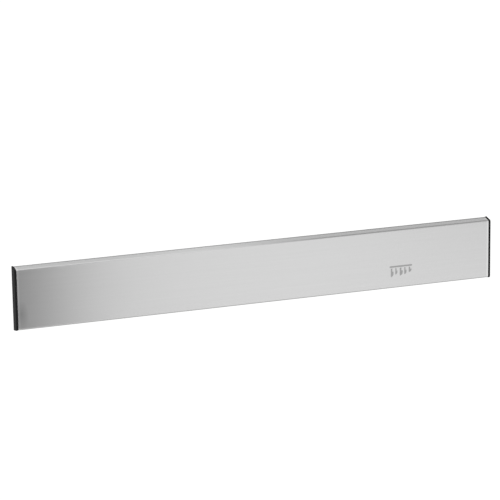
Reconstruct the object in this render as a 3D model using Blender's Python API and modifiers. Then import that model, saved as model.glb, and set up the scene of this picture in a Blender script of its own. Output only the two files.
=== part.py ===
"""Wall-mounted magnetic knife rack: a folded stainless cover over a row of ferrite magnets.

Frame: the wall plane is Y = 0 and the knife face looks along -Y. +X runs along the rack,
to the right of someone facing it, and +Z is up. The origin is the middle of the rear face,
where the back plate lies flush against the wall. All lengths are in metres.
"""

import math

import bmesh
import bpy
from mathutils import Matrix, Vector

MM = 0.001

# Driving dimensions of the whole rack
RACK_LENGTH = 500 * MM  # over both end caps
SECTION_HEIGHT = 63.4 * MM  # at the wall, over sharp corners; the rounded folds bring it to 63 mm
FACE_HEIGHT = 59.4 * MM  # knife face between its two folds, over sharp corners
DEPTH = 10 * MM  # wall plane to knife face
FIT_GAP = 0.3 * MM  # clearance between touching pieces

# Folded stainless cover
SHEET = 0.8 * MM
FACE_FOLD = 2 * MM  # outside radius of the two folds beside the knife face
LIP_FOLD = 1.2 * MM  # outside radius of the two folds at the wall
LIP_EDGE = 22 * MM  # distance from the middle to the free edge of each rear lip

# Moulded end caps
CAP_FLANGE = 1.8 * MM
CAP_RIM = 0.3 * MM  # how far the flange stands proud of the cover
CAP_REAR_CORNER = 0.8 * MM
CAP_EDGE = 0.35 * MM
PLUG_LENGTH = 12 * MM
PLUG_ROOT = 0.4 * MM  # overlap of the plug with the flange, where the two join
PLUG_REAR_CORNER = 0.7 * MM
PLUG_WALL = 1.3 * MM
PLUG_POCKETS = 4
RIB_RADIUS = 0.6 * MM
RIB_PROUD = 0.2 * MM
RIB_LENGTH = 9 * MM

# Zinc-plated steel back plate
PLATE = 1 * MM
PLATE_LENGTH = 468 * MM
PLATE_EDGE = 28 * MM  # half height
PLATE_BAND = 19.5 * MM  # half height of the band that is flush with the wall
JOGGLE_RUN = 1.5 * MM
JOGGLE_RADIUS = 0.5 * MM
KEYHOLE_X = 140 * MM  # half of the 280 mm between the two wall screws
KEYHOLE_DROP = 4 * MM  # centre of the round entry below the middle
KEYHOLE_RADIUS = 5 * MM
SLOT_RADIUS = 2.5 * MM
SLOT_RISE = 9 * MM  # entry centre to the centre of the slot's round end
KEYHOLE_CUT = 6 * MM  # depth of the cutting shape, more than the plate's thickness

# Ferrite magnets, their plastic carriers and the foam tapes behind them
MAGNET_SIZE = Vector((40, 6, 25)) * MM
MAGNET_CHAMFER = 0.5 * MM
MAGNET_PITCH = 43 * MM
MAGNET_FRONT_GAP = 0.4 * MM
TAPE = 1.5 * MM
TAPE_HEIGHT = 20 * MM
CARRIER_DEPTH = 5 * MM
CARRIER_HEIGHT = 33 * MM
CARRIER_END = 1.2 * MM  # bar outside the last magnet
GROUPS = (
    ("left", -191 * MM, 2),
    ("centre", 0.0, 6),
    ("right", 191 * MM, 2),
)

ARC_STEPS = 6
ROUND_STEPS = 16
WELD = 0.01 * MM
EDGE_ANGLE = math.radians(50)  # sharper edges than this are bevelled
SMOOTH_ANGLE = math.radians(35)  # softer edges than this shade smooth

COVER_LENGTH = RACK_LENGTH - 2 * (CAP_FLANGE + FIT_GAP)
CAP_X = RACK_LENGTH / 2 - CAP_FLANGE  # inner face of each cap's flange
PLATE_FRONT = -PLATE
TAPE_REAR = PLATE_FRONT - FIT_GAP / 2
MAGNET_FRONT = -DEPTH + SHEET + MAGNET_FRONT_GAP

# Sharp corners of the cover's section as (y, z), from the top rear one round to the bottom rear one
SECTION = (
    Vector((0.0, SECTION_HEIGHT / 2)),
    Vector((-DEPTH, FACE_HEIGHT / 2)),
    Vector((-DEPTH, -FACE_HEIGHT / 2)),
    Vector((0.0, -SECTION_HEIGHT / 2)),
)

# Turns an outline drawn in a curve's own XY plane so that it lies in the YZ or the XZ plane
TO_YZ = Matrix(((0, 0, 1, 0), (1, 0, 0, 0), (0, 1, 0, 0), (0, 0, 0, 1)))
TO_XZ = Matrix.Rotation(math.pi / 2, 4, "X")


# ---------------------------------------------------------------- scene and materials


def clear_scene():
    for obj in list(bpy.data.objects):
        bpy.data.objects.remove(obj, do_unlink=True)
    for collection in list(bpy.data.collections):
        bpy.data.collections.remove(collection)


def new_collection(name):
    collection = bpy.data.collections.new(name)
    bpy.context.scene.collection.children.link(collection)
    return collection


def material(name, colour, roughness, metallic=0.0):
    made = bpy.data.materials.new(name)
    made.use_nodes = True
    shader = made.node_tree.nodes["Principled BSDF"]
    shader.inputs["Base Color"].default_value = (*colour, 1.0)
    shader.inputs["Roughness"].default_value = roughness
    shader.inputs["Metallic"].default_value = metallic
    made.diffuse_color = (*colour, 1.0)
    return made


# ---------------------------------------------------------------- outlines


def arc(centre, start, sweep, steps):
    """Points on an arc from centre + start, turned through sweep radians."""
    return [
        centre + Matrix.Rotation(sweep * step / steps, 2) @ start
        for step in range(steps + 1)
    ]


def fillet(before, corner, after, radius):
    """The arc that rounds one corner of a path."""
    back = (before - corner).normalized()
    ahead = (after - corner).normalized()
    half = back.angle(ahead) / 2
    centre = corner + (back + ahead).normalized() * radius / math.sin(half)
    start = corner + back * radius / math.tan(half) - centre
    turn = math.pi - 2 * half
    clockwise = back.x * ahead.y - back.y * ahead.x > 0
    return arc(centre, start, -turn if clockwise else turn, ARC_STEPS)


def rounded_path(corners, radii):
    """An open path with every inner corner rounded, each by its own radius."""
    points = [corners[0]]
    for before, corner, after, radius in zip(corners, corners[1:], corners[2:], radii):
        points += fillet(before, corner, after, radius)
    return points + [corners[-1]]


def rounded_loop(corners, radii):
    """A closed outline with every corner rounded, each by its own radius."""
    points = []
    for index, (corner, radius) in enumerate(zip(corners, radii)):
        after = corners[(index + 1) % len(corners)]
        points += fillet(corners[index - 1], corner, after, radius)
    return points


def inset(corners, distance):
    """A convex outline moved inwards by the same distance on each side."""
    middle = sum(corners, Vector((0.0, 0.0))) / len(corners)
    sides = []
    for index, corner in enumerate(corners):
        along = (corners[(index + 1) % len(corners)] - corner).normalized()
        inward = Vector((-along.y, along.x))
        if inward.dot(middle - corner) < 0:
            inward.negate()
        sides.append((corner + inward * distance, along))
    moved = []
    for index, (point, along) in enumerate(sides):
        last_point, last_along = sides[index - 1]
        gap = point - last_point
        across = last_along.x * along.y - last_along.y * along.x
        reach = (gap.x * along.y - gap.y * along.x) / across
        moved.append(last_point + last_along * reach)
    return moved


def rectangle(centre_x, centre_y, width, height):
    left, right = centre_x - width / 2, centre_x + width / 2
    low, high = centre_y - height / 2, centre_y + height / 2
    return [Vector(p) for p in ((left, low), (right, low), (right, high), (left, high))]


# ---------------------------------------------------------------- solids


def outline_solid(name, outlines, thickness, placement):
    """A mesh object: flat outlines (the first one whole, the others holes) with a thickness."""
    curve = bpy.data.curves.new(name, "CURVE")
    curve.dimensions = "2D"
    curve.fill_mode = "BOTH"
    curve.extrude = thickness / 2
    for outline in outlines:
        spline = curve.splines.new("POLY")
        spline.points.add(len(outline) - 1)
        spline.use_cyclic_u = True
        for point, place in zip(spline.points, outline):
            point.co = (place.x, place.y, 0.0, 1.0)
    drawn = bpy.data.objects.new(name + "_outline", curve)
    bpy.context.scene.collection.objects.link(drawn)
    bpy.context.view_layer.update()
    graph = bpy.context.evaluated_depsgraph_get()
    mesh = bpy.data.meshes.new_from_object(drawn.evaluated_get(graph))
    bpy.data.objects.remove(drawn)
    mesh.name = name
    mesh.transform(placement)
    edit = bmesh.new()
    edit.from_mesh(mesh)
    bmesh.ops.remove_doubles(edit, verts=edit.verts, dist=WELD)
    bmesh.ops.recalc_face_normals(edit, faces=edit.faces)
    edit.to_mesh(mesh)
    edit.free()
    return bpy.data.objects.new(name, mesh)


def section_solid(name, outline, x_from, x_to):
    """A (y, z) outline run along X."""
    placement = Matrix.Translation(((x_from + x_to) / 2, 0, 0)) @ TO_YZ
    return outline_solid(name, [outline], abs(x_to - x_from), placement)


def sheet_run(name, path, length, thickness):
    """A sheet that follows a (y, z) path and runs along X. Its thickness is added on one side:
    towards -Y where the path goes down, towards +Y where it goes up."""
    edit = bmesh.new()
    ends = [edit.verts.new((-length / 2, point.x, point.y)) for point in path]
    edges = [edit.edges.new(pair) for pair in zip(ends, ends[1:])]
    swept = bmesh.ops.extrude_edge_only(edit, edges=edges)
    far = [item for item in swept["geom"] if isinstance(item, bmesh.types.BMVert)]
    bmesh.ops.translate(edit, verts=far, vec=(length, 0, 0))
    mesh = bpy.data.meshes.new(name)
    edit.to_mesh(mesh)
    edit.free()
    obj = bpy.data.objects.new(name, mesh)
    solid = obj.modifiers.new("sheet", "SOLIDIFY")
    solid.thickness = thickness
    solid.offset = -1
    solid.use_even_offset = True
    return obj


def block(name, centre, size):
    """A box with its origin at its own centre."""
    edit = bmesh.new()
    bmesh.ops.create_cube(edit, size=1.0)
    bmesh.ops.scale(edit, verts=edit.verts, vec=size)
    mesh = bpy.data.meshes.new(name)
    edit.to_mesh(mesh)
    edit.free()
    obj = bpy.data.objects.new(name, mesh)
    obj.location = centre
    return obj


def rod(name, centre, radius, length):
    """A cylinder that lies along X."""
    edit = bmesh.new()
    bmesh.ops.create_cone(
        edit, cap_ends=True, segments=ROUND_STEPS, radius1=radius, radius2=radius, depth=length
    )
    bmesh.ops.rotate(edit, verts=edit.verts, matrix=Matrix.Rotation(math.pi / 2, 3, "Y"))
    mesh = bpy.data.meshes.new(name)
    edit.to_mesh(mesh)
    edit.free()
    obj = bpy.data.objects.new(name, mesh)
    obj.location = centre
    return obj


def bevel(obj, width, segments=1):
    modifier = obj.modifiers.new("edges", "BEVEL")
    modifier.width = width
    modifier.segments = segments
    modifier.limit_method = "ANGLE"
    modifier.angle_limit = EDGE_ANGLE


def combine(obj, tool, operation, cutters):
    """Joins a tool to an object or cuts it away, and keeps the tool as a hidden guide."""
    cutters.objects.link(tool)
    tool.display_type = "WIRE"
    tool.hide_render = True
    modifier = obj.modifiers.new(tool.name, "BOOLEAN")
    modifier.operation = operation
    modifier.solver = "EXACT"
    modifier.object = tool


def finish(obj, collection, surface, smooth=False):
    obj.data.materials.clear()
    obj.data.materials.append(surface)
    collection.objects.link(obj)
    if smooth:
        obj.data.shade_smooth()
        obj.data.set_sharp_from_angle(angle=SMOOTH_ANGLE)


# ---------------------------------------------------------------- pieces


def make_cover(parts, surface):
    """Knife face, two slanted flanges and two rear lips, folded from one sheet."""
    top_lip = Vector((0.0, LIP_EDGE))
    bottom_lip = Vector((0.0, -LIP_EDGE))
    folds = (LIP_FOLD, FACE_FOLD, FACE_FOLD, LIP_FOLD)
    path = rounded_path([bottom_lip, *reversed(SECTION), top_lip], folds)
    finish(sheet_run("front_cover", path, COVER_LENGTH, SHEET), parts, surface, smooth=True)


def keyhole_outline(centre_x):
    """A round entry with a slot rising from it; the rack drops so that the screw sits up in the slot."""
    entry = Vector((centre_x, -KEYHOLE_DROP))
    slot_end = entry + Vector((0.0, SLOT_RISE))
    half_open = math.asin(SLOT_RADIUS / KEYHOLE_RADIUS)
    start = Matrix.Rotation(math.pi / 2 + half_open, 2) @ Vector((KEYHOLE_RADIUS, 0.0))
    outline = arc(entry, start, 2 * (math.pi - half_open), ROUND_STEPS)
    return outline + arc(slot_end, Vector((SLOT_RADIUS, 0.0)), math.pi, ROUND_STEPS // 2)


def make_back_plate(parts, cutters, surface):
    """Steel plate whose long edges step in behind the cover's lips, with two keyholes."""
    step = SHEET + FIT_GAP
    upper = [
        Vector((-step, PLATE_EDGE)),
        Vector((-step, PLATE_BAND + JOGGLE_RUN)),
        Vector((0.0, PLATE_BAND)),
    ]
    lower = [Vector((point.x, -point.y)) for point in reversed(upper)]
    outside = JOGGLE_RADIUS + PLATE
    path = rounded_path(upper + lower, [JOGGLE_RADIUS, outside, outside, JOGGLE_RADIUS])
    plate = sheet_run("back_plate", path, PLATE_LENGTH, PLATE)
    for side, label in ((-1, "left"), (1, "right")):
        outline = keyhole_outline(side * KEYHOLE_X)
        cutter = outline_solid("keyhole_" + label, [outline], KEYHOLE_CUT, TO_XZ)
        combine(plate, cutter, "DIFFERENCE", cutters)
    finish(plate, parts, surface)


def make_cap(side, label, parts, cutters, surface):
    """Moulded end cap: a flange over the cover's end and a hollow ribbed plug inside it."""
    grip = SHEET + FIT_GAP
    rim_z = SECTION_HEIGHT / 2 + CAP_RIM
    face_z = FACE_HEIGHT / 2 + CAP_RIM
    face_y = -DEPTH - CAP_RIM
    flange_corners = [
        Vector(p) for p in ((0, rim_z), (face_y, face_z), (face_y, -face_z), (0, -rim_z))
    ]
    front_corner = FACE_FOLD + CAP_RIM
    flange_radii = (CAP_REAR_CORNER, front_corner, front_corner, CAP_REAR_CORNER)
    cap = section_solid(
        "end_cap_" + label,
        rounded_loop(flange_corners, flange_radii),
        side * CAP_X,
        side * (CAP_X + CAP_FLANGE),
    )
    bevel(cap, CAP_EDGE, 2)

    inner_end = CAP_X - PLUG_LENGTH
    plug_radii = (PLUG_REAR_CORNER, FACE_FOLD - grip, FACE_FOLD - grip, PLUG_REAR_CORNER)
    plug = section_solid(
        "plug_" + label,
        rounded_loop(inset(SECTION, grip), plug_radii),
        side * inner_end,
        side * (CAP_X + PLUG_ROOT),
    )
    combine(cap, plug, "UNION", cutters)

    rib_x = side * (inner_end + PLUG_LENGTH / 2)
    sink = RIB_RADIUS - RIB_PROUD
    rib_places = (
        ("front", -DEPTH + grip + sink, FACE_HEIGHT / 4),
        ("rear", -grip - sink, (LIP_EDGE + FACE_HEIGHT / 2) / 2),
    )
    for place, rib_y, rib_z in rib_places:
        for height, end in ((rib_z, "upper"), (-rib_z, "lower")):
            name = "rib_" + label + "_" + place + "_" + end
            rib = rod(name, (rib_x, rib_y, height), RIB_RADIUS, RIB_LENGTH)
            combine(cap, rib, "UNION", cutters)

    pocket_corners = inset(SECTION, grip + PLUG_WALL)
    lowest = min(corner.y for corner in pocket_corners[1:3])
    pitch = -2 * lowest / PLUG_POCKETS
    pocket_y = [corner.x for corner in pocket_corners]
    mouth = side * (inner_end - FIT_GAP)
    for index in range(PLUG_POCKETS):
        centre_z = lowest + (index + 0.5) * pitch
        outline = rectangle(
            (min(pocket_y) + max(pocket_y)) / 2,
            centre_z,
            max(pocket_y) - min(pocket_y),
            pitch - PLUG_WALL,
        )
        cutter = section_solid("pocket_" + label + "_" + str(index + 1), outline, mouth, side * CAP_X)
        combine(cap, cutter, "DIFFERENCE", cutters)

    finish(cap, parts, surface)
    origin = Matrix.Translation((side * CAP_X, -DEPTH / 2, 0))
    cap.data.transform(origin.inverted())
    cap.matrix_world = origin


def make_magnet_group(label, centre_x, count, first, parts, surfaces):
    """A run of magnets in one plastic carrier, with a foam tape behind them."""
    offsets = [centre_x + (index - (count - 1) / 2) * MAGNET_PITCH for index in range(count)]
    magnet_y = MAGNET_FRONT + MAGNET_SIZE.y / 2
    for index, x in enumerate(offsets):
        magnet = block("magnet_{:02d}".format(first + index), (x, magnet_y, 0), MAGNET_SIZE)
        bevel(magnet, MAGNET_CHAMFER)
        finish(magnet, parts, surfaces["ferrite"])

    width = (count - 1) * MAGNET_PITCH + MAGNET_SIZE.x + 2 * (FIT_GAP + CARRIER_END)
    frame = [rectangle(centre_x, 0, width, CARRIER_HEIGHT)]
    for x in offsets:
        window = rectangle(x, 0, MAGNET_SIZE.x + 2 * FIT_GAP, MAGNET_SIZE.z + 2 * FIT_GAP)
        frame.append(window)
    placement = Matrix.Translation((0, magnet_y, 0)) @ TO_XZ
    carrier = outline_solid("magnet_carrier_" + label, frame, CARRIER_DEPTH, placement)
    finish(carrier, parts, surfaces["carrier"])

    centre = (centre_x, TAPE_REAR - TAPE / 2, 0)
    tape = block("foam_tape_" + label, centre, (width - 2 * CARRIER_END, TAPE, TAPE_HEIGHT))
    finish(tape, parts, surfaces["foam"])


def main():
    clear_scene()
    parts = new_collection("magnetic_knife_rack")
    cutters = new_collection("cutters")
    surfaces = {
        "stainless": material("satin_stainless", (0.62, 0.62, 0.62), 0.32, 1.0),
        "plastic": material("black_plastic", (0.012, 0.012, 0.013), 0.45),
        "zinc": material("zinc_plated_steel", (0.55, 0.56, 0.58), 0.4, 1.0),
        "ferrite": material("ferrite", (0.045, 0.043, 0.042), 0.7),
        "carrier": material("carrier_plastic", (0.62, 0.61, 0.58), 0.5),
        "foam": material("foam_tape", (0.8, 0.8, 0.77), 0.9),
    }
    make_cover(parts, surfaces["stainless"])
    make_back_plate(parts, cutters, surfaces["zinc"])
    make_cap(-1, "left", parts, cutters, surfaces["plastic"])
    make_cap(1, "right", parts, cutters, surfaces["plastic"])
    first = 1
    for label, centre_x, count in GROUPS:
        make_magnet_group(label, centre_x, count, first, parts, surfaces)
        first += count
    cutters.hide_render = True


main()
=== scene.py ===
"""Looks of the magnetic knife rack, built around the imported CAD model."""

import math

import bmesh
import bpy
from mathutils import Matrix, Vector, noise


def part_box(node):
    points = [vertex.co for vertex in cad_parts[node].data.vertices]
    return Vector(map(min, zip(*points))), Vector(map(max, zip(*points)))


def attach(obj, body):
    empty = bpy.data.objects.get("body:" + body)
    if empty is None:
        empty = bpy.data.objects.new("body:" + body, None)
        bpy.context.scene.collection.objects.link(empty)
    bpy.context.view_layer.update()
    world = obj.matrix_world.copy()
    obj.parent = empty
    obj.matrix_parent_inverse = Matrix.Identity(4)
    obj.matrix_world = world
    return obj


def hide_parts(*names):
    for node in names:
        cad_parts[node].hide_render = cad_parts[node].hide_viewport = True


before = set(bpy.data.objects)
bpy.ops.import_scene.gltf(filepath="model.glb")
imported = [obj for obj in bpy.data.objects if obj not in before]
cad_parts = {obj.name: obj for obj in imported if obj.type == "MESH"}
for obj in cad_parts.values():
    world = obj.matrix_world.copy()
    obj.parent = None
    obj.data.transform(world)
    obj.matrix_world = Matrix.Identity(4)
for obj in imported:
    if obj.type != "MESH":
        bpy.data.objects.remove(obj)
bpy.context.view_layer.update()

MM = 0.001

# ---------------------------------------------------------------- sizes shared with the CAD model

SHEET = 0.8 * MM
FACE_FOLD = 2 * MM
LIP_FOLD = 1.2 * MM
LIP_EDGE = 22 * MM  # from the middle line to the edge of a lip
FACE_HEIGHT = 59.4 * MM  # between the sharp front corners of the section
SECTION_HEIGHT = 63.4 * MM  # between its sharp rear corners
FIT_GAP = 0.3 * MM
CAP_FLANGE = 1.8 * MM
CAP_RIM = 0.29 * MM  # a hair under the CAD rim, whose coarser corners reach less far
CAP_REAR_CORNER = 0.8 * MM
PLUG_ROOT = 0.4 * MM  # how far the plug reaches into the flange
PLUG_REAR_CORNER = 0.7 * MM
PLUG_WALL = 1.3 * MM
PLUG_POCKETS = 4
POCKET_CORNER = 0.5 * MM
RIB_RADIUS = 0.6 * MM
RIB_PROUD = 0.2 * MM
RIB_TAPER = 0.72  # the radius at the plug's mouth, as a share of the radius at the flange
RIB_RUN = 0.75  # the rib's length as a share of the plug's
PLATE_BAND = 19.5 * MM  # half the height of the band that touches the wall
JOGGLE_RUN = 1.5 * MM  # the height over which the plate steps in
JOGGLE_RADIUS = 0.5 * MM
KEYHOLE_X = 140 * MM
KEYHOLE_DROP = 4 * MM  # from the middle line down to the round entry's centre
KEYHOLE_RADIUS = 5 * MM
SLOT_RADIUS = 2.5 * MM
SLOT_RISE = 9 * MM
CARRIER_CORNER = 2 * MM
WINDOW_CORNER = 0.6 * MM
TAPE_CORNER = 1 * MM
MAGNETS_IN_GROUP = {"left": 2, "centre": 6, "right": 2}

# ---------------------------------------------------------------- finish of the made pieces

FOLD_STEPS = 18
JOGGLE_STEPS = 5
CORNER_STEPS = 10
ROUND_STEPS = 48
SHEET_EDGE = 0.3 * MM  # the stainless sheet's edges, broken by deburring
BRUSH_AND_SHADE_EDGE = -2.8 * MM  # the y at which the brushing of the cover ends and the painted shade of the rear band begins
BRUSH_AND_SHADE_FADE = 0.4 * MM  # how far to each side of that it fades out
PAINTED_HIGHLIGHT_WIDTH = 2.4 * MM  # the painted highlight: a brighter strip in the colour along the cut ends of the cover
SMUDGE_PLACE = (-244.4 * MM, -10 * MM, -14 * MM)
SMUDGE_SIZE = (8 * MM, 0.6 * MM, 15 * MM)  # thin in y, so that it stays on the outer face
PLATE_BURR = 0.15 * MM
CAP_EDGE = 0.35 * MM
PLUG_EDGE = 0.3 * MM
CARRIER_EDGE = 0.3 * MM
TAPE_EDGE = 0.12 * MM
MAGNET_EDGE = 0.5 * MM
MAGNET_CUTS = 12  # cuts across each long edge, so that the chips have points to move
CHIP_NOISE = 900  # how fine the noise of the chips is, per metre
CHIP_LEVEL = 0.25  # the noise below this leaves the edge whole
CHIP_SIZE = 0.012  # how far a full chip shrinks a point towards the block's centre
ETCH_DEPTH = 0.05 * MM
MARK_CENTRE = Vector((150.7 * MM, -12.5 * MM))
MARK_WIDTH = 24.5 * MM
MARK_HEIGHT = 11 * MM
MARK_BAR = 0.15  # the bar's height as a share of the mark's
MARK_KNIVES = (  # each knife's width and length, as shares of the mark's
    (0.12, 0.8),
    (0.09, 0.6),
    (0.13, 0.74),
    (0.1, 0.66),
    (0.12, 0.5),
)
KNIFE_HANDLE = 0.38  # the handle's length as a share of the knife's
KNIFE_GRIP = 0.55  # the handle's width as a share of the blade's
KNIFE_BELLY = 0.4  # the curved stretch of the edge as a share of the knife's length
KNIFE_STEPS = 6
MERGE = 0.005 * MM
NEARLY_FLAT = math.radians(0.5)
SORT_ALONG = Vector((1, math.sqrt(2), math.sqrt(3)))  # slanted, so that symmetric points differ
SHARP_EDGE = math.radians(50)
SMOOTH_ANGLE = math.radians(30)

# ---------------------------------------------------------------- camera and light

CAMERA_AZIMUTH = math.radians(20.41)
CAMERA_ELEVATION = math.radians(14.30)
CAMERA_ROLL = math.radians(-0.81)
CAMERA_DISTANCE = 2.552
CAMERA_LENS = 185.95
AIM_RIGHT = -0.0067
AIM_UP = 0.0213

STUDIO_LIGHT = 1.1
FLOOR_DROP = 2.2
FLOOR_SIZE = 60
# Each card: its centre, its size, the (y, z) that it faces, its grey, and how far its edges fade
# out, along X and across.
CARDS = {
    "card_left": ((-0.445, -0.5, -0.1), (0.78, 1.7), (1, 0), 0.12, (0.05, 0.2)),
    "card_left_high": ((-0.36, -0.51, 0.75), (0.84, 0.8), (1, 0), 0.12, (0.05, 0.2)),
    "card_right": ((0.8, -0.25, 0.375), (1.3, 1.05), (1, 0), 0.81, (0.25, 0.2)),
    "card_above": ((0.65, 0.03, 0.35), (1.1, 1.3), (0, -1), 0.41, (0.08, 0.5)),
    "card_above_left": ((-0.445, 0.4, 0.35), (1.17, 0.8), (0, -1), 0.79, (0.12, 0.2)),
    "card_behind": ((0.3, 1.2, -0.1), (4.0, 1.4), (-1, 0), 0.35, (0.2, 0.1)),
    "card_below": ((0.3, 0.4, -0.45), (4.0, 1.4), (0, 1), 0.42, (0.3, 0.35)),
}

COVER_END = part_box("front_cover")[1].x

# How a drawn (x, y) outline is stood up: as (y, z) with its thickness along X, or as (x, z).
TO_YZ = Matrix(((0, 0, 1, 0), (1, 0, 0, 0), (0, 1, 0, 0), (0, 0, 0, 1)))
TO_XZ = Matrix.Rotation(math.pi / 2, 4, "X")


# ---------------------------------------------------------------- outlines


def arc(centre, start, sweep, steps):
    """Points on an arc from centre + start, turned through sweep radians."""
    return [
        centre + Matrix.Rotation(sweep * step / steps, 2) @ start
        for step in range(steps + 1)
    ]


def fillet(before, corner, after, radius, steps):
    """The arc that rounds one corner of a path."""
    back = (before - corner).normalized()
    ahead = (after - corner).normalized()
    half = back.angle(ahead) / 2
    centre = corner + (back + ahead).normalized() * radius / math.sin(half)
    start = corner + back * radius / math.tan(half) - centre
    turn = math.pi - 2 * half
    clockwise = back.x * ahead.y - back.y * ahead.x > 0
    return arc(centre, start, -turn if clockwise else turn, steps)


def rounded_path(corners, radii, steps):
    """An open path with each of its inner corners rounded."""
    points = [corners[0]]
    for before, corner, after, radius in zip(corners, corners[1:], corners[2:], radii):
        points += fillet(before, corner, after, radius, steps)
    return points + [corners[-1]]


def rounded_loop(corners, radii, steps):
    """A closed outline with each corner rounded."""
    points = []
    for index, (corner, radius) in enumerate(zip(corners, radii)):
        after = corners[(index + 1) % len(corners)]
        points += fillet(corners[index - 1], corner, after, radius, steps)
    return points


def inset(corners, distance):
    """A convex outline moved inwards by the same distance on each side."""
    middle = sum(corners, Vector((0.0, 0.0))) / len(corners)
    sides = []
    for index, corner in enumerate(corners):
        along = (corners[(index + 1) % len(corners)] - corner).normalized()
        inward = Vector((-along.y, along.x))
        if inward.dot(middle - corner) < 0:
            inward.negate()
        sides.append((corner + inward * distance, along))
    moved = []
    for index, (point, along) in enumerate(sides):
        last_point, last_along = sides[index - 1]
        gap = point - last_point
        across = last_along.x * along.y - last_along.y * along.x
        reach = (gap.x * along.y - gap.y * along.x) / across
        moved.append(last_point + last_along * reach)
    return moved


def rectangle(centre_x, centre_y, width, height):
    left, right = centre_x - width / 2, centre_x + width / 2
    low, high = centre_y - height / 2, centre_y + height / 2
    return [Vector(p) for p in ((left, low), (right, low), (right, high), (left, high))]


# ---------------------------------------------------------------- mesh tools


def link(obj):
    bpy.context.scene.collection.objects.link(obj)
    return obj


def baked(obj):
    """The object with its modifiers applied to its own mesh."""
    bpy.context.view_layer.update()
    graph = bpy.context.evaluated_depsgraph_get()
    mesh = bpy.data.meshes.new_from_object(obj.evaluated_get(graph))
    obj.modifiers.clear()
    obj.data = mesh
    mesh.name = obj.name
    return obj


def outline_solid(name, outlines, thickness, placement, edge=0.0):
    """Flat outlines with a thickness, as a mesh. An outline inside another is a hole.

    The edges are rounded by the edge radius, inside the outlines.
    """
    curve = bpy.data.curves.new(name, "CURVE")
    curve.dimensions = "2D"
    curve.fill_mode = "BOTH"
    curve.extrude = thickness / 2 - edge
    curve.bevel_depth = edge
    curve.bevel_resolution = 2
    curve.offset = -edge
    for outline in outlines:
        spline = curve.splines.new("POLY")
        spline.points.add(len(outline) - 1)
        spline.use_cyclic_u = True
        for point, place in zip(spline.points, outline):
            point.co = (place.x, place.y, 0.0, 1.0)
    drawn = link(bpy.data.objects.new(name + "_outline", curve))
    bpy.context.view_layer.update()
    graph = bpy.context.evaluated_depsgraph_get()
    mesh = bpy.data.meshes.new_from_object(drawn.evaluated_get(graph))
    bpy.data.objects.remove(drawn)
    mesh.name = name
    mesh.transform(placement)
    edit = bmesh.new()
    edit.from_mesh(mesh)
    bmesh.ops.remove_doubles(edit, verts=edit.verts, dist=MERGE)
    bmesh.ops.recalc_face_normals(edit, faces=edit.faces)
    bmesh.ops.dissolve_limit(
        edit, angle_limit=NEARLY_FLAT, verts=edit.verts, edges=edit.edges
    )
    edit.to_mesh(mesh)
    edit.free()
    return link(bpy.data.objects.new(name, mesh))


def section_solid(name, outline, x_from, x_to):
    """A (y, z) outline that runs along X from one place to another."""
    placement = Matrix.Translation(((x_from + x_to) / 2, 0, 0)) @ TO_YZ
    return outline_solid(name, [outline], abs(x_to - x_from), placement)


def sheet_run(name, path, length, thickness, edge):
    """A sheet that follows a (y, z) path and runs along X, with its cut edges broken."""
    edit = bmesh.new()
    ends = [edit.verts.new((-length / 2, point.x, point.y)) for point in path]
    edges = [edit.edges.new(pair) for pair in zip(ends, ends[1:])]
    swept = bmesh.ops.extrude_edge_only(edit, edges=edges)
    far = [item for item in swept["geom"] if isinstance(item, bmesh.types.BMVert)]
    bmesh.ops.translate(edit, verts=far, vec=(length, 0, 0))
    mesh = bpy.data.meshes.new(name)
    edit.to_mesh(mesh)
    edit.free()
    obj = link(bpy.data.objects.new(name, mesh))
    solid = obj.modifiers.new("sheet", "SOLIDIFY")
    solid.thickness = thickness
    solid.offset = -1
    solid.use_even_offset = True
    bevel(obj, edge, 3)
    return baked(obj)


def bevel(obj, width, segments):
    """A modifier that rounds the sharp edges."""
    modifier = obj.modifiers.new("edges", "BEVEL")
    modifier.width = width
    modifier.segments = segments
    modifier.use_clamp_overlap = False
    modifier.loop_slide = False
    modifier.limit_method = "ANGLE"
    modifier.angle_limit = SHARP_EDGE


def combine(obj, tool, operation):
    """Joins a tool to an object or cuts it away. Cut faces keep the tool's material."""
    modifier = obj.modifiers.new(tool.name, "BOOLEAN")
    modifier.operation = operation
    modifier.solver = "EXACT"
    modifier.material_mode = "TRANSFER"
    modifier.object = tool
    baked(obj)
    bpy.data.objects.remove(tool)


def smooth(obj):
    """Round stretches shade smooth and flat faces stay flat."""
    obj.data.shade_smooth()
    obj.data.set_sharp_from_angle(angle=SMOOTH_ANGLE)
    weighted = obj.modifiers.new("normals", "WEIGHTED_NORMAL")
    weighted.keep_sharp = True
    weighted.weight = 100


def paint(obj, surface):
    obj.data.materials.clear()
    obj.data.materials.append(surface)


def place(obj, body, slot, node):
    """A finished piece: it rides on its body and stands for its CAD node."""
    smooth(obj)
    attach(obj, body)
    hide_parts(node)


# ---------------------------------------------------------------- materials


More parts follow.
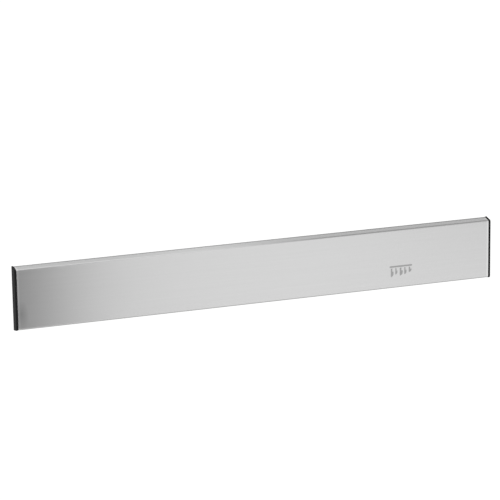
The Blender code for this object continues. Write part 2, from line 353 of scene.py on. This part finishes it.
class Surface:
    """A Principled material with short calls for the nodes that vary it."""

    def __init__(self, name, colour, roughness, metallic=0.0):
        self.material = bpy.data.materials.new(name)
        self.material.use_nodes = True
        self.tree = self.material.node_tree
        self.shader = self.tree.nodes["Principled BSDF"]
        self.shader.inputs["Base Color"].default_value = (*colour, 1.0)
        self.shader.inputs["Roughness"].default_value = roughness
        self.shader.inputs["Metallic"].default_value = metallic
        self.place = self.tree.nodes.new("ShaderNodeTexCoord").outputs["Object"]

    def node(self, kind, **values):
        """A new node, with its inputs and settings given by name."""
        made = self.tree.nodes.new(kind)
        for name, value in values.items():
            if name in made.inputs:
                made.inputs[name].default_value = value
            else:
                setattr(made, name, value)
        return made

    def link(self, output, target):
        self.tree.links.new(output, target)

    def noise(self, per_metre, detail=2.0, roughness=0.5, offset=(0, 0, 0)):
        """Noise with its own number of features per metre along X, Y and Z."""
        mapping = self.node("ShaderNodeMapping", Scale=per_metre, Location=offset)
        self.link(self.place, mapping.inputs["Vector"])
        texture = self.node("ShaderNodeTexNoise", Scale=1.0, Detail=detail, Roughness=roughness)
        self.link(mapping.outputs["Vector"], texture.inputs["Vector"])
        return texture.outputs["Fac"]

    def cells(self, per_metre):
        texture = self.node("ShaderNodeTexVoronoi", Scale=per_metre)
        self.link(self.place, texture.inputs["Vector"])
        return texture.outputs["Distance"]

    def spread(self, value, low, high, start=0.3, end=0.7):
        """A value between start and end, spread from low to high."""
        ranged = self.node("ShaderNodeMapRange")
        ranged.inputs["From Min"].default_value = start
        ranged.inputs["From Max"].default_value = end
        ranged.inputs["To Min"].default_value = low
        ranged.inputs["To Max"].default_value = high
        self.link(value, ranged.inputs["Value"])
        return ranged.outputs["Result"]

    def colours(self, value, dark, light, start=0.3, end=0.7):
        """A colour between dark and light."""
        ramp = self.node("ShaderNodeValToRGB")
        ramp.color_ramp.elements[0].position = start
        ramp.color_ramp.elements[0].color = (*dark, 1.0)
        ramp.color_ramp.elements[1].position = end
        ramp.color_ramp.elements[1].color = (*light, 1.0)
        self.link(value, ramp.inputs["Fac"])
        return ramp.outputs["Color"]

    def math(self, operation, *values):
        """One step of arithmetic on numbers or other nodes' outputs."""
        made = self.node("ShaderNodeMath", operation=operation)
        for socket, value in zip(made.inputs, values):
            if isinstance(value, (int, float)):
                socket.default_value = value
            else:
                self.link(value, socket)
        return made.outputs["Value"]

    def smudge(self, centre, size, ragged):
        """A soft blot, 1 at its centre and 0 beyond about its size, with a ragged edge."""
        offset = self.node("ShaderNodeVectorMath", operation="SUBTRACT")
        self.link(self.place, offset.inputs[0])
        offset.inputs[1].default_value = centre
        scaled = self.node("ShaderNodeVectorMath", operation="DIVIDE")
        self.link(offset.outputs["Vector"], scaled.inputs[0])
        scaled.inputs[1].default_value = size
        reach = self.node("ShaderNodeVectorMath", operation="LENGTH")
        self.link(scaled.outputs["Vector"], reach.inputs[0])
        return self.spread(self.math("ADD", reach.outputs["Value"], ragged), 1, 0, 0.5, 1.5)

    def bump(self, height, distance, strength=1.0, under=None):
        made = self.node("ShaderNodeBump", Distance=distance, Strength=strength)
        self.link(height, made.inputs["Height"])
        if under is not None:
            self.link(under, made.inputs["Normal"])
        return made.outputs["Normal"]

    def set(self, socket, output):
        self.link(output, self.shader.inputs[socket])


def stainless():
    """Satin stainless, with its brush lines along X. The brush doesn't reach the rear folds and
    the lips, which are rougher and carry painted shade: a darker grey in their colour. Along both
    cut ends the colour carries a painted highlight.
    """
    s = Surface("satin_stainless", (0.62, 0.62, 0.62), 0.3, 1.0)
    lines = s.noise((14, 2600, 2600), detail=3.0)
    streaks = s.noise((5, 420, 420), detail=2.0, offset=(3, 0, 0))
    clouds = s.noise((18, 60, 30), detail=3.0, offset=(0, 7, 0))
    mixed = s.math("ADD", s.math("MULTIPLY", lines, 0.6), s.math("MULTIPLY", streaks, 0.4))
    axes = s.node("ShaderNodeSeparateXYZ")
    s.link(s.place, axes.inputs[0])
    # Painted shade: past the brush's end the rear folds and lips get a darker grey in their
    # colour, as well as a rougher finish.
    brushed_unshaded = s.spread(axes.outputs["Y"], 1, 0, BRUSH_AND_SHADE_EDGE - BRUSH_AND_SHADE_FADE, BRUSH_AND_SHADE_EDGE + BRUSH_AND_SHADE_FADE)
    along = s.math("ABSOLUTE", axes.outputs["X"])
    # Painted highlight: the colour brightens in a strip along both cut ends of the cover.
    end_highlight = s.spread(along, 0, 1, COVER_END - PAINTED_HIGHLIGHT_WIDTH, COVER_END - 0.6 * PAINTED_HIGHLIGHT_WIDTH)
    touched = s.smudge(SMUDGE_PLACE, SMUDGE_SIZE, clouds)
    # The brushed grey, plus the painted highlight along the cut ends.
    bright = s.math("ADD", s.spread(mixed, 0.622, 0.652), s.math("MULTIPLY", end_highlight, 0.12))
    # The darker grey of the rear band is painted shade; its clouding is random tone.
    dull_shaded_grey = s.spread(clouds, 0.39, 0.45)
    grey = s.math("ADD", dull_shaded_grey, s.math("MULTIPLY", brushed_unshaded, s.math("SUBTRACT", bright, dull_shaded_grey)))
    s.set("Base Color", s.math("MULTIPLY", grey, s.spread(touched, 1, 0.7, 0, 1)))
    rough = s.math("ADD", s.spread(mixed, -0.02, 0.02), s.spread(clouds, 0.294, 0.306))
    rough = s.math("ADD", rough, s.spread(brushed_unshaded, 0.3, 0.0, 0.0, 1.0))
    s.set("Roughness", s.math("ADD", rough, s.math("MULTIPLY", touched, 0.05)))
    s.set("Normal", s.bump(lines, 0.004 * MM))
    return s.material


def etched():
    """Laser-etched stainless: darker and matt."""
    s = Surface("etched_stainless", (0.4, 0.4, 0.4), 0.55, 1.0)
    grain = s.noise((2500, 2500, 2500), detail=2.0)
    s.set("Base Color", s.colours(grain, (0.39, 0.39, 0.39), (0.44, 0.44, 0.44)))
    s.set("Roughness", s.spread(grain, 0.5, 0.62))
    s.set("Normal", s.bump(grain, 0.01 * MM))
    return s.material


def black_plastic():
    """Black moulded plastic with a fine spark texture and slight scuffs."""
    s = Surface("black_plastic", (0.005, 0.005, 0.0055), 0.42)
    grain = s.noise((2200, 2200, 2200), detail=2.0)
    s.shader.inputs["Specular IOR Level"].default_value = 0.12
    scuffs = s.noise((60, 160, 40), detail=4.0, offset=(5, 0, 2))
    s.set("Base Color", s.colours(scuffs, (0.007, 0.007, 0.0073), (0.012, 0.012, 0.0125)))
    s.set("Roughness", s.math("ADD", s.spread(scuffs, 0.36, 0.46), s.spread(grain, -0.03, 0.03)))
    s.set("Normal", s.bump(grain, 0.02 * MM, 0.6))
    return s.material


def zinc():
    """Zinc-plated steel: soft clouding and rolling marks along X."""
    s = Surface("zinc_plated_steel", (0.55, 0.56, 0.58), 0.38, 1.0)
    clouds = s.noise((70, 70, 70), detail=5.0, roughness=0.6)
    rolled = s.noise((10, 900, 900), detail=2.0)
    s.set("Base Color", s.colours(clouds, (0.46, 0.475, 0.50), (0.62, 0.63, 0.64)))
    s.set("Roughness", s.math("ADD", s.spread(clouds, 0.32, 0.46), s.spread(rolled, -0.04, 0.04)))
    s.set("Normal", s.bump(rolled, 0.008 * MM))
    return s.material


def ferrite():
    """Sintered ferrite: dark grey, ground faces, pitted grain."""
    s = Surface("ferrite", (0.045, 0.043, 0.042), 0.62)
    grain = s.noise((1800, 1800, 1800), detail=3.0)
    ground = s.noise((30, 1500, 1500), detail=1.0, offset=(0, 1, 0))
    s.set("Base Color", s.colours(grain, (0.032, 0.031, 0.031), (0.07, 0.067, 0.064)))
    s.set("Roughness", s.spread(grain, 0.5, 0.72))
    under = s.bump(ground, 0.02 * MM, 0.6)
    s.set("Normal", s.bump(grain, 0.04 * MM, 0.7, under))
    return s.material


def carrier_plastic():
    """Natural polypropylene, slightly waxy."""
    s = Surface("carrier_plastic", (0.62, 0.61, 0.58), 0.45)
    s.shader.inputs["Subsurface Weight"].default_value = 0.15
    s.shader.inputs["Subsurface Radius"].default_value = (1.5 * MM, 1.3 * MM, 1.1 * MM)
    flow = s.noise((40, 120, 90), detail=3.0)
    grain = s.noise((1500, 1500, 1500))
    s.set("Base Color", s.colours(flow, (0.58, 0.57, 0.54), (0.66, 0.65, 0.62)))
    s.set("Roughness", s.spread(flow, 0.4, 0.52))
    s.set("Normal", s.bump(grain, 0.01 * MM, 0.5))
    return s.material


def foam():
    """White closed-cell foam."""
    s = Surface("foam_tape", (0.8, 0.8, 0.77), 0.88)
    cells = s.cells(2600)
    s.set("Base Color", s.colours(cells, (0.70, 0.70, 0.67), (0.86, 0.86, 0.83), 0.0, 0.6))
    s.set("Roughness", s.spread(cells, 0.95, 0.8, 0.0, 0.6))
    s.set("Normal", s.bump(cells, 0.1 * MM, 0.7))
    return s.material


# ---------------------------------------------------------------- pieces


def cover_section():
    """Sharp corners of the cover's section as (y, z), from the top rear to the bottom rear."""
    low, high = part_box("front_cover")
    front, rear = low.y, high.y
    return [
        Vector((rear, SECTION_HEIGHT / 2)),
        Vector((front, FACE_HEIGHT / 2)),
        Vector((front, -FACE_HEIGHT / 2)),
        Vector((rear, -SECTION_HEIGHT / 2)),
    ]


def knife_outline(left, top, width, length):
    """A knife that hangs point down, with a straight back on the left and a curved edge."""
    blade_top = top - KNIFE_HANDLE * length
    bottom = top - length
    belly = KNIFE_BELLY * length
    turns = [math.pi / 2 * step / KNIFE_STEPS for step in range(KNIFE_STEPS + 1)]
    edge = [
        Vector((left + width * math.sin(turn), bottom + belly * (1 - math.cos(turn))))
        for turn in turns
    ]
    handle = left + KNIFE_GRIP * width
    return [Vector((left, top))] + edge + [
        Vector((left + width, blade_top)),
        Vector((handle, blade_top)),
        Vector((handle, top)),
    ]


def make_mark(face, surface):
    """A cutter for a generic etched sign: a bar with five knives hanging from it."""
    top = MARK_CENTRE.y + MARK_HEIGHT / 2
    bar = MARK_BAR * MARK_HEIGHT
    outlines = [rectangle(MARK_CENTRE.x, top - bar / 2, MARK_WIDTH, bar)]
    hang = top - 1.5 * bar
    for index, (width, length) in enumerate(MARK_KNIVES):
        left = MARK_CENTRE.x + ((index + 0.25) / len(MARK_KNIVES) - 0.5) * MARK_WIDTH
        outlines.append(knife_outline(left, hang, width * MARK_WIDTH, length * MARK_HEIGHT))
    placement = Matrix.Translation((0, face, 0)) @ TO_XZ
    cutter = outline_solid("mark", outlines, 2 * ETCH_DEPTH, placement)
    paint(cutter, surface)
    return cutter


def make_cover(surfaces):
    """The folded sheet, with the mark etched into its face."""
    low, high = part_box("front_cover")
    corners = cover_section()
    ends = [Vector((high.y, -LIP_EDGE)), Vector((high.y, LIP_EDGE))]
    folds = (LIP_FOLD, FACE_FOLD, FACE_FOLD, LIP_FOLD)
    path = rounded_path([ends[0], *reversed(corners), ends[1]], folds, FOLD_STEPS)
    cover = sheet_run("knife_cover", path, high.x - low.x, SHEET, SHEET_EDGE)
    paint(cover, surfaces["stainless"])
    combine(cover, make_mark(low.y, surfaces["etched"]), "DIFFERENCE")
    place(cover, "rack", "satin_stainless", "front_cover")


def keyhole_outline(centre_x):
    """A round entry with a slot above it, as (x, z)."""
    entry = Vector((centre_x, -KEYHOLE_DROP))
    slot_end = entry + Vector((0.0, SLOT_RISE))
    half_open = math.asin(SLOT_RADIUS / KEYHOLE_RADIUS)
    start = Matrix.Rotation(math.pi / 2 + half_open, 2) @ Vector((KEYHOLE_RADIUS, 0.0))
    outline = arc(entry, start, 2 * (math.pi - half_open), ROUND_STEPS)
    return outline + arc(slot_end, Vector((SLOT_RADIUS, 0.0)), math.pi, ROUND_STEPS // 2)


def make_back_plate(surfaces):
    """The plate whose long edges step in behind the lips, with its two keyholes."""
    low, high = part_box("back_plate")
    step = SHEET + FIT_GAP
    thickness = high.y - low.y - step
    upper = [
        Vector((-step, high.z)),
        Vector((-step, PLATE_BAND + JOGGLE_RUN)),
        Vector((high.y, PLATE_BAND)),
    ]
    lower = [Vector((point.x, -point.y)) for point in reversed(upper)]
    outside = JOGGLE_RADIUS + thickness
    folds = (JOGGLE_RADIUS, outside, outside, JOGGLE_RADIUS)
    path = rounded_path(upper + lower, folds, JOGGLE_STEPS)
    plate = sheet_run("wall_plate", path, high.x - low.x, thickness, PLATE_BURR)
    paint(plate, surfaces["zinc"])
    through = 6 * thickness
    for side in (-1, 1):
        outline = keyhole_outline(side * KEYHOLE_X)
        cutter = outline_solid("keyhole", [outline], through, TO_XZ)
        paint(cutter, surfaces["zinc"])
        combine(plate, cutter, "DIFFERENCE")
    bevel(plate, PLATE_BURR / 2, 2)
    baked(plate)
    place(plate, "rack", "zinc_plated_steel", "back_plate")


def tapered_rib(name, centre, length, tip):
    """A crush rib along X that thins towards the plug's mouth, which lies on the tip side."""
    edit = bmesh.new()
    bmesh.ops.create_cone(
        edit,
        cap_ends=True,
        segments=ROUND_STEPS // 2,
        radius1=RIB_RADIUS,
        radius2=RIB_RADIUS * RIB_TAPER,
        depth=length,
    )
    turn = Matrix.Rotation(math.pi / 2 * tip, 3, "Y")
    bmesh.ops.rotate(edit, verts=edit.verts, matrix=turn)
    mesh = bpy.data.meshes.new(name)
    edit.to_mesh(mesh)
    edit.free()
    obj = link(bpy.data.objects.new(name, mesh))
    obj.location = centre
    return obj


def make_cap(side, label, surfaces):
    """Moulded cap: a flange with soft edges, and a hollow plug with crush ribs."""
    node = "end_cap_" + label
    low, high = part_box(node)
    outer = low.x if side < 0 else high.x
    mouth = high.x if side < 0 else low.x
    inner = outer - side * CAP_FLANGE
    grip = SHEET + FIT_GAP
    section = cover_section()
    rim_z = SECTION_HEIGHT / 2 + CAP_RIM
    face_z = FACE_HEIGHT / 2 + CAP_RIM
    corners = [
        Vector(p)
        for p in ((high.y, rim_z), (low.y, face_z), (low.y, -face_z), (high.y, -rim_z))
    ]
    front_corner = FACE_FOLD + CAP_RIM
    radii = (CAP_REAR_CORNER, front_corner, front_corner, CAP_REAR_CORNER)
    cap = section_solid("cap_" + label, rounded_loop(corners, radii, CORNER_STEPS), inner, outer)
    bevel(cap, CAP_EDGE, 5)
    baked(cap)

    radii = (PLUG_REAR_CORNER, FACE_FOLD - grip, FACE_FOLD - grip, PLUG_REAR_CORNER)
    plug_outline = rounded_loop(inset(section, grip), radii, CORNER_STEPS)
    plug = section_solid("plug", plug_outline, mouth, inner + side * PLUG_ROOT)
    bevel(plug, PLUG_EDGE, 2)
    baked(plug)
    combine(cap, plug, "UNION")

    plug_length = abs(inner - mouth)
    sink = RIB_RADIUS - RIB_PROUD
    front_rib = (section[1].x + grip + sink, FACE_HEIGHT / 4)
    rear_rib = (-grip - sink, (LIP_EDGE + FACE_HEIGHT / 2) / 2)
    for rib_y, rib_z in (front_rib, rear_rib):
        for height in (rib_z, -rib_z):
            centre = ((mouth + inner) / 2, rib_y, height)
            combine(cap, tapered_rib("rib", centre, plug_length * RIB_RUN, -side), "UNION")

    pocket = inset(section, grip + PLUG_WALL)
    lowest = min(corner.y for corner in pocket[1:3])
    pitch = -2 * lowest / PLUG_POCKETS
    ys = [corner.x for corner in pocket]
    for index in range(PLUG_POCKETS):
        outline = rounded_loop(
            rectangle(
                (min(ys) + max(ys)) / 2,
                lowest + (index + 0.5) * pitch,
                max(ys) - min(ys),
                pitch - PLUG_WALL,
            ),
            [POCKET_CORNER] * 4,
            CORNER_STEPS // 2,
        )
        cutter = section_solid("pocket", outline, mouth - side * FIT_GAP, inner)
        combine(cap, cutter, "DIFFERENCE")
    paint(cap, surfaces["plastic"])
    place(cap, "cap_" + label, "black_plastic", node)


def make_magnet(node, surfaces):
    """A ground ferrite block whose edges are worn and chipped a little, each one its own way."""
    low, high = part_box(node)
    size = high - low
    centre = (low + high) / 2
    edit = bmesh.new()
    bmesh.ops.create_cube(edit, size=1.0)
    bmesh.ops.scale(edit, verts=edit.verts, vec=size)
    bmesh.ops.bevel(
        edit,
        geom=list(edit.edges),
        offset=MAGNET_EDGE,
        segments=3,
        profile=0.6,
        affect="EDGES",
    )
    long_edges = [edge for edge in edit.edges if edge.calc_length() > 4 * MAGNET_EDGE]
    bmesh.ops.subdivide_edges(edit, edges=long_edges, cuts=MAGNET_CUTS, use_grid_fill=True)
    half = size / 2
    for vert in edit.verts:
        depths = sorted(half[axis] - abs(vert.co[axis]) for axis in range(3))
        if depths[1] < 1.2 * MAGNET_EDGE:
            chip = max(0.0, noise.noise((vert.co + centre) * CHIP_NOISE) - CHIP_LEVEL)
            vert.co *= 1 - chip * CHIP_SIZE
    bmesh.ops.translate(edit, verts=edit.verts, vec=centre)
    # The cuts come in a different order on each run, so the points and faces are sorted.
    edit.verts.sort(key=lambda vert: vert.co.dot(SORT_ALONG))
    edit.faces.sort(key=lambda face: face.calc_center_median().dot(SORT_ALONG))
    mesh = bpy.data.meshes.new("ferrite_" + node)
    edit.to_mesh(mesh)
    edit.free()
    block = link(bpy.data.objects.new("ferrite_" + node[-2:], mesh))
    paint(block, surfaces["ferrite"])
    place(block, "rack", "ferrite", node)


def make_carrier(label, surfaces):
    """The moulded frame around one group of magnets, with a window for each."""
    node = "magnet_carrier_" + label
    low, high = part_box(node)
    count = MAGNETS_IN_GROUP[label]
    magnet_low, magnet_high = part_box("magnet_01")
    window = magnet_high - magnet_low + Vector((2, 2, 2)) * FIT_GAP
    pitch = magnet_pitch()
    middle = (low + high) / 2
    corners = rectangle(middle.x, 0, high.x - low.x, high.z - low.z)
    outlines = [rounded_loop(corners, [CARRIER_CORNER] * 4, CORNER_STEPS)]
    for index in range(count):
        x = middle.x + (index - (count - 1) / 2) * pitch
        corners = rectangle(x, 0, window.x, window.z)
        outlines.append(rounded_loop(corners, [WINDOW_CORNER] * 4, CORNER_STEPS // 2))
    placement = Matrix.Translation((0, middle.y, 0)) @ TO_XZ
    thickness = high.y - low.y
    carrier = outline_solid("carrier_" + label, outlines, thickness, placement, CARRIER_EDGE)
    paint(carrier, surfaces["carrier"])
    place(carrier, "rack", "carrier_plastic", node)


def magnet_pitch():
    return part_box("magnet_02")[0].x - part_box("magnet_01")[0].x


def make_tape(label, surfaces):
    """Flat foam tape with soft edges."""
    node = "foam_tape_" + label
    low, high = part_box(node)
    middle = (low + high) / 2
    corners = rectangle(middle.x, 0, high.x - low.x, high.z - low.z)
    outline = rounded_loop(corners, [TAPE_CORNER] * 4, CORNER_STEPS)
    placement = Matrix.Translation((0, middle.y, 0)) @ TO_XZ
    tape = outline_solid("tape_" + label, [outline], high.y - low.y, placement, TAPE_EDGE)
    paint(tape, surfaces["foam"])
    place(tape, "rack", "foam_tape", node)


# ---------------------------------------------------------------- stage


def make_world():
    """A white studio all round."""
    world = bpy.data.worlds.new("studio")
    world.use_nodes = True
    background = world.node_tree.nodes["Background"]
    background.inputs["Color"].default_value = (1, 1, 1, 1)
    background.inputs["Strength"].default_value = STUDIO_LIGHT
    bpy.context.scene.world = world


def plane(name, width, height):
    """A flat rectangle about its own centre."""
    edit = bmesh.new()
    bmesh.ops.create_grid(edit, x_segments=1, y_segments=1, size=0.5)
    bmesh.ops.scale(edit, verts=edit.verts, vec=(width, height, 1))
    mesh = bpy.data.meshes.new(name)
    edit.to_mesh(mesh)
    edit.free()
    return link(bpy.data.objects.new(name, mesh))


def make_floor():
    """A wide matt white floor."""
    floor = plane("floor", FLOOR_SIZE, FLOOR_SIZE)
    floor.location = (0, 0, -FLOOR_DROP)
    s = Surface("floor_paint", (0.96, 0.96, 0.96), 0.9)
    s.shader.inputs["Specular IOR Level"].default_value = 0.0
    paint(floor, s.material)


def make_card(name, centre, size, faces, grey, feather):
    """A grey card along X that only gloss shows. Its edges fade out."""
    card = plane(name, *size)
    normal = Vector((0, *faces)).normalized()
    along = Vector((1, 0, 0))
    card.matrix_world = Matrix.Translation(centre) @ Matrix(
        (along, normal.cross(along), normal)
    ).transposed().to_4x4()
    s = Surface(name, (0, 0, 0), 1.0)
    s.tree.nodes.remove(s.shader)
    axes = s.node("ShaderNodeSeparateXYZ")
    s.link(s.place, axes.inputs[0])
    covers = [
        s.spread(s.math("ABSOLUTE", axes.outputs[axis]), 1, 0, width / 2 - fade, width / 2)
        for axis, width, fade in zip("XY", size, feather)
    ]
    mixed = s.node("ShaderNodeMixShader")
    s.link(s.math("MULTIPLY", *covers), mixed.inputs["Fac"])
    s.link(s.node("ShaderNodeBsdfTransparent").outputs["BSDF"], mixed.inputs[1])
    s.link(s.node("ShaderNodeEmission", Strength=grey).outputs["Emission"], mixed.inputs[2])
    s.link(mixed.outputs["Shader"], s.tree.nodes["Material Output"].inputs["Surface"])
    paint(card, s.material)
    card.visible_camera = False
    card.visible_diffuse = False
    card.visible_transmission = False
    card.visible_volume_scatter = False
    card.visible_shadow = False


def make_camera():
    """A long lens from a little to the left and above, turned slightly about its own axis."""
    a, e, r = CAMERA_AZIMUTH, CAMERA_ELEVATION, CAMERA_ROLL
    forward = Vector((math.sin(a) * math.cos(e), math.cos(a) * math.cos(e), -math.sin(e)))
    right = Vector((math.cos(a), -math.sin(a), 0))
    up = right.cross(forward)
    tilted_right = right * math.cos(r) + up * math.sin(r)
    tilted_up = up * math.cos(r) - right * math.sin(r)
    camera = link(bpy.data.objects.new("camera", bpy.data.cameras.new("camera")))
    camera.data.lens = CAMERA_LENS
    camera.data.sensor_width = 36
    camera.data.clip_start = 0.05
    camera.data.clip_end = 100
    turn = Matrix((tilted_right, tilted_up, -forward)).transposed().to_4x4()
    aim = right * AIM_RIGHT + up * AIM_UP
    camera.matrix_world = Matrix.Translation(aim - forward * CAMERA_DISTANCE) @ turn
    bpy.context.scene.camera = camera


def main():
    bpy.context.scene.view_settings.view_transform = "Standard"
    make_camera()
    make_world()
    make_floor()
    for name, card in CARDS.items():
        make_card(name, *card)
    surfaces = {
        "stainless": stainless(),
        "etched": etched(),
        "plastic": black_plastic(),
        "zinc": zinc(),
        "ferrite": ferrite(),
        "carrier": carrier_plastic(),
        "foam": foam(),
    }
    make_cover(surfaces)
    make_back_plate(surfaces)
    make_cap(-1, "left", surfaces)
    make_cap(1, "right", surfaces)
    for label in MAGNETS_IN_GROUP:
        make_carrier(label, surfaces)
        make_tape(label, surfaces)
    for number in range(sum(MAGNETS_IN_GROUP.values())):
        make_magnet("magnet_{:02d}".format(number + 1), surfaces)


main()
